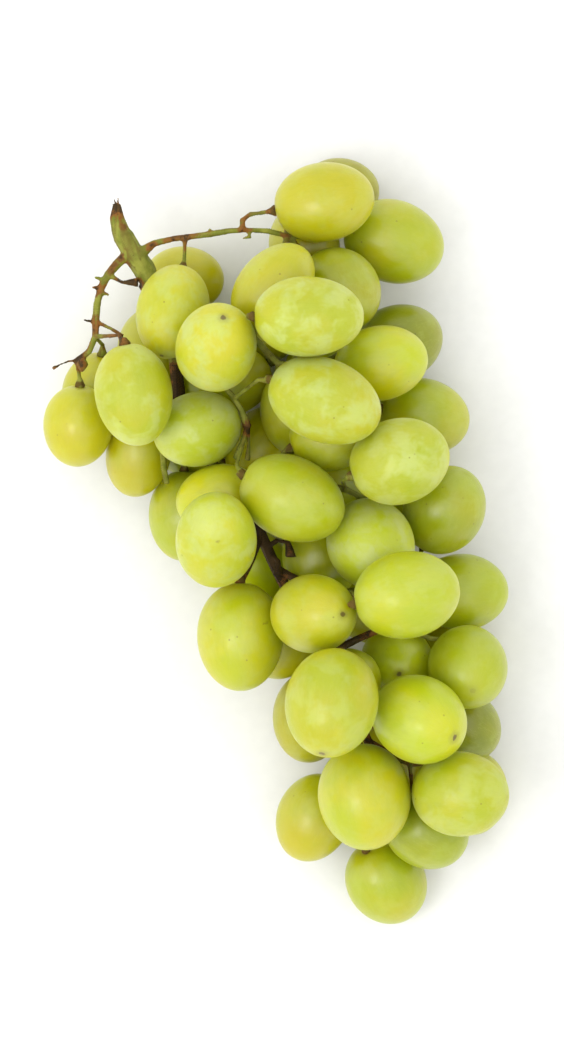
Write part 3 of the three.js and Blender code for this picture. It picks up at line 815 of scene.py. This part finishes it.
def wood_material():
    """Wood that goes from green through red-brown to dark as it dries."""
    s = Shader("stem_wood")
    place = s.place()
    brown, pad, fibre = s.split(s.attribute("tone"))
    patches = s.noise(place, 260, 4, 0.6)
    fresh = s.mix(s.map(patches, 0.35, 0.65), GREEN_WOOD, LIGHT_WOOD)
    fresh = s.mix(s.map(fibre, 0.45, 0.75, 0.0, 0.7), fresh, GROOVE)
    mottle = s.map(s.noise(place, 520, 3, 0.6), 0.3, 0.7, -0.2, 0.2)
    dried = s.math("ADD", s.math("ADD", brown, mottle), s.map(fibre, 0.3, 0.7, -0.08, 0.08))
    red = s.mix(s.map(patches, 0.4, 0.65), RED_BROWN, DEEP_RED_BROWN)
    dark = s.mix(s.map(fibre, 0.3, 0.7), DARK, DARKEST)
    dry = s.mix(s.map(dried, 0.62, 0.9), red, dark)
    colour = s.mix(s.map(dried, 0.25, 0.6), fresh, dry)
    corky = s.map(s.math("ADD", pad, s.math("MULTIPLY", mottle, 1.2)), 0.35, 0.75)
    colour = s.mix(corky, colour, CORK)
    specks = s.map(s.cells(place, 900), 0.12, 0.22, 1.0, 0.0)
    specks = s.math("MULTIPLY", specks, s.map(s.noise(place, 300, 1), 0.5, 0.58))
    colour = s.mix(s.math("MULTIPLY", specks, 0.6), colour, WOOD_SPECK)
    height = s.math("ADD", fibre, s.noise(place, 2600, 4, 0.65))
    return s.finish(
        {
            "Base Color": colour,
            "Roughness": s.map(corky, 0.0, 1.0, 0.55, 0.8),
            "Specular IOR Level": 0.12,
            "Subsurface Weight": 0.15,
            "Subsurface Radius": (1.0, 0.8, 0.2),
            "Subsurface Scale": 0.6 * MM,
            "Normal": s.bump(height, 0.12 * MM, 0.7),
        },
        subsurface_method="RANDOM_WALK",
    )


wood_look = wood_material()
wood_mesh.name = "stem_wood"
wood_mesh.materials.clear()
put_attribute(wood_mesh, "tone", tone)
stem_piece = make_piece("stem_wood", wood_mesh, wood_look)
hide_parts("stem")
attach(stem_piece, "root")
print("stem piece:", len(wood_mesh.polygons), "faces")

# %% [markdown]
# ## The torn end of the stalk
#
# The bunch was twisted off its vine, so its stalk ends in a few stiff fibres.
# A particle system would scatter them; each is a thin tapered thread here, on
# a curve that bends as the square of the way along it.

# %% Torn fibres
FIBRES, FIBRE_RINGS, FIBRE_SIDES = 11, 7, 6
SPLAY, BEND = 0.18, 0.25  # how far threads lean and curve, as a share of their length
SUNK = 1.0 * MM  # how deep their roots lie in the stalk
OUTWARD, LENGTHS, RADII = (0.2, 0.75), (0.9, 2.0), (0.2, 0.42)  # ranges in mm
TIP_DEPTH = 0.6 * MM  # corners this near to the farthest one belong to the tip
TORN_TONE = (0.85, 0.2, 0.5)  # dried, hardly corky, between ridge and groove
STALK_SIDE = -30 * MM  # the stalk's end lies at a smaller x than this
stalk_way = np.array([-0.18, 1, 0.1])
stalk_way /= np.linalg.norm(stalk_way)
end_points = stem_points[stem_points[:, 0] <= STALK_SIDE]
reach = end_points @ stalk_way
tip = end_points[reach > reach.max() - TIP_DEPTH].mean(axis=0)


def thread_points(root, way, bend, length, radius):
    """Rings of a tapered thread: at a share s of the way along, its middle is
    root + length (s way + s*s bend), and its radius falls to a fifth. Its two
    poles come last."""
    share = np.linspace(0, 1, FIBRE_RINGS)
    w = 2 * np.pi * np.arange(FIBRE_SIDES) / FIBRE_SIDES
    middle = root + length * (share[:, None] * way + (share**2)[:, None] * bend)
    side, up = across(way)
    thickness = radius * (1 - 0.8 * share)
    ring = thickness[:, None, None] * (np.cos(w)[:, None] * side + np.sin(w)[:, None] * up)
    return np.concatenate([(middle[:, None] + ring).reshape(-1, 3), middle[[0, -1]]])


rng = np.random.default_rng(31)
side, up = across(stalk_way)
threads, thread_faces = [], []
one_thread = grid_faces(FIBRE_RINGS, FIBRE_SIDES)
for number in range(FIBRES):
    angle, out = rng.uniform(0, 2 * np.pi), rng.uniform(*OUTWARD) * MM
    root = tip - stalk_way * SUNK + out * (np.cos(angle) * side + np.sin(angle) * up)
    way = stalk_way + SPLAY * rng.normal(size=3)
    way /= np.linalg.norm(way)
    bend = BEND * rng.normal(size=3)
    length, radius = rng.uniform(*LENGTHS) * MM, rng.uniform(*RADII) * MM
    start = number * (FIBRE_RINGS * FIBRE_SIDES + 2)
    thread_faces += [[start + corner for corner in face] for face in one_thread]
    threads.append(thread_points(root, way, bend, length, radius))
threads = np.concatenate(threads)
torn_mesh = mesh_of("torn_fibres", threads, thread_faces)
put_attribute(torn_mesh, "tone", np.tile(TORN_TONE, (len(threads), 1)))
torn = make_piece("torn_fibres", torn_mesh, wood_look)
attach(torn, "root")
print("torn fibres:", FIBRES)

# %% [markdown]
# ## Surface, light and camera
#
# The bunch lies on a plain pale surface in a bright room and is looked at from
# straight above. A very large softbox, most of it to the left, lays a wide pale
# haze on the berries, and a smaller key light within it gives their shadows a
# side. Sun or spots would leave sharp white dots on each berry. A long lens far
# away keeps berries of one size the same size in the picture.

# %% Floor
HALF_FLOOR = 3.0
PALE, PALER = (0.79, 0.79, 0.79, 1), (0.81, 0.81, 0.81, 1)


def floor_material():
    """A plain matt surface with a trace of grain."""
    s = Shader("pale_surface")
    colour = s.mix(s.map(s.noise(s.place(), 300, 3), 0.3, 0.7), PALE, PALER)
    return s.finish({"Base Color": colour, "Roughness": 0.7, "Specular IOR Level": 0.2})


floor_corners = np.array([(-1, -1, 0), (1, -1, 0), (1, 1, 0), (-1, 1, 0)]) * HALF_FLOOR
floor = make_piece("floor", mesh_of("floor", floor_corners, [[0, 1, 2, 3]]), floor_material())
print("floor:", 2 * HALF_FLOOR, "m square")


# %% Lights
WARM_WHITE = (1.0, 0.99, 0.97)
ROOM = 1.12  # radiance of the walls and ceiling all round


def soft_light(name, place, size, strength):
    """A rectangular light that shines straight down. strength is its radiance."""
    light = bpy.data.lights.new(name, "AREA")
    light.shape = "RECTANGLE"
    light.size, light.size_y = size
    light.energy = strength * np.pi * size[0] * size[1]
    light.color = WARM_WHITE
    link(name, light).location = place


soft_light("softbox", (-0.9, -0.05, 1.2), (3.8, 2.1), 0.7)
soft_light("key", (-0.55, -0.3, 1.3), (0.5, 0.5), 6.0)
world = bpy.data.worlds.new("bright_room")
world.use_nodes = True
world.node_tree.nodes["Background"].inputs["Color"].default_value = (1, 1, 1, 1)
world.node_tree.nodes["Background"].inputs["Strength"].default_value = ROOM
bpy.context.scene.world = world
print("a softbox, a key light and a bright room")

# %% Camera
FRAME_HEIGHT = 264.25 * MM  # what the long side of the frame covers
MIDDLE_X, MIDDLE_Y = 1.5 * MM, 3.17 * MM
DISTANCE = 4.0
camera_data = bpy.data.cameras.new("camera")
camera_data.sensor_width = 36
camera_data.lens = camera_data.sensor_width * DISTANCE / FRAME_HEIGHT
camera_data.clip_end = 5 * DISTANCE
camera = link("camera", camera_data)
camera.location = (MIDDLE_X, MIDDLE_Y, DISTANCE)
bpy.context.scene.camera = camera
bpy.context.scene.view_settings.view_transform = "Standard"
print("lens", round(camera_data.lens), "mm")
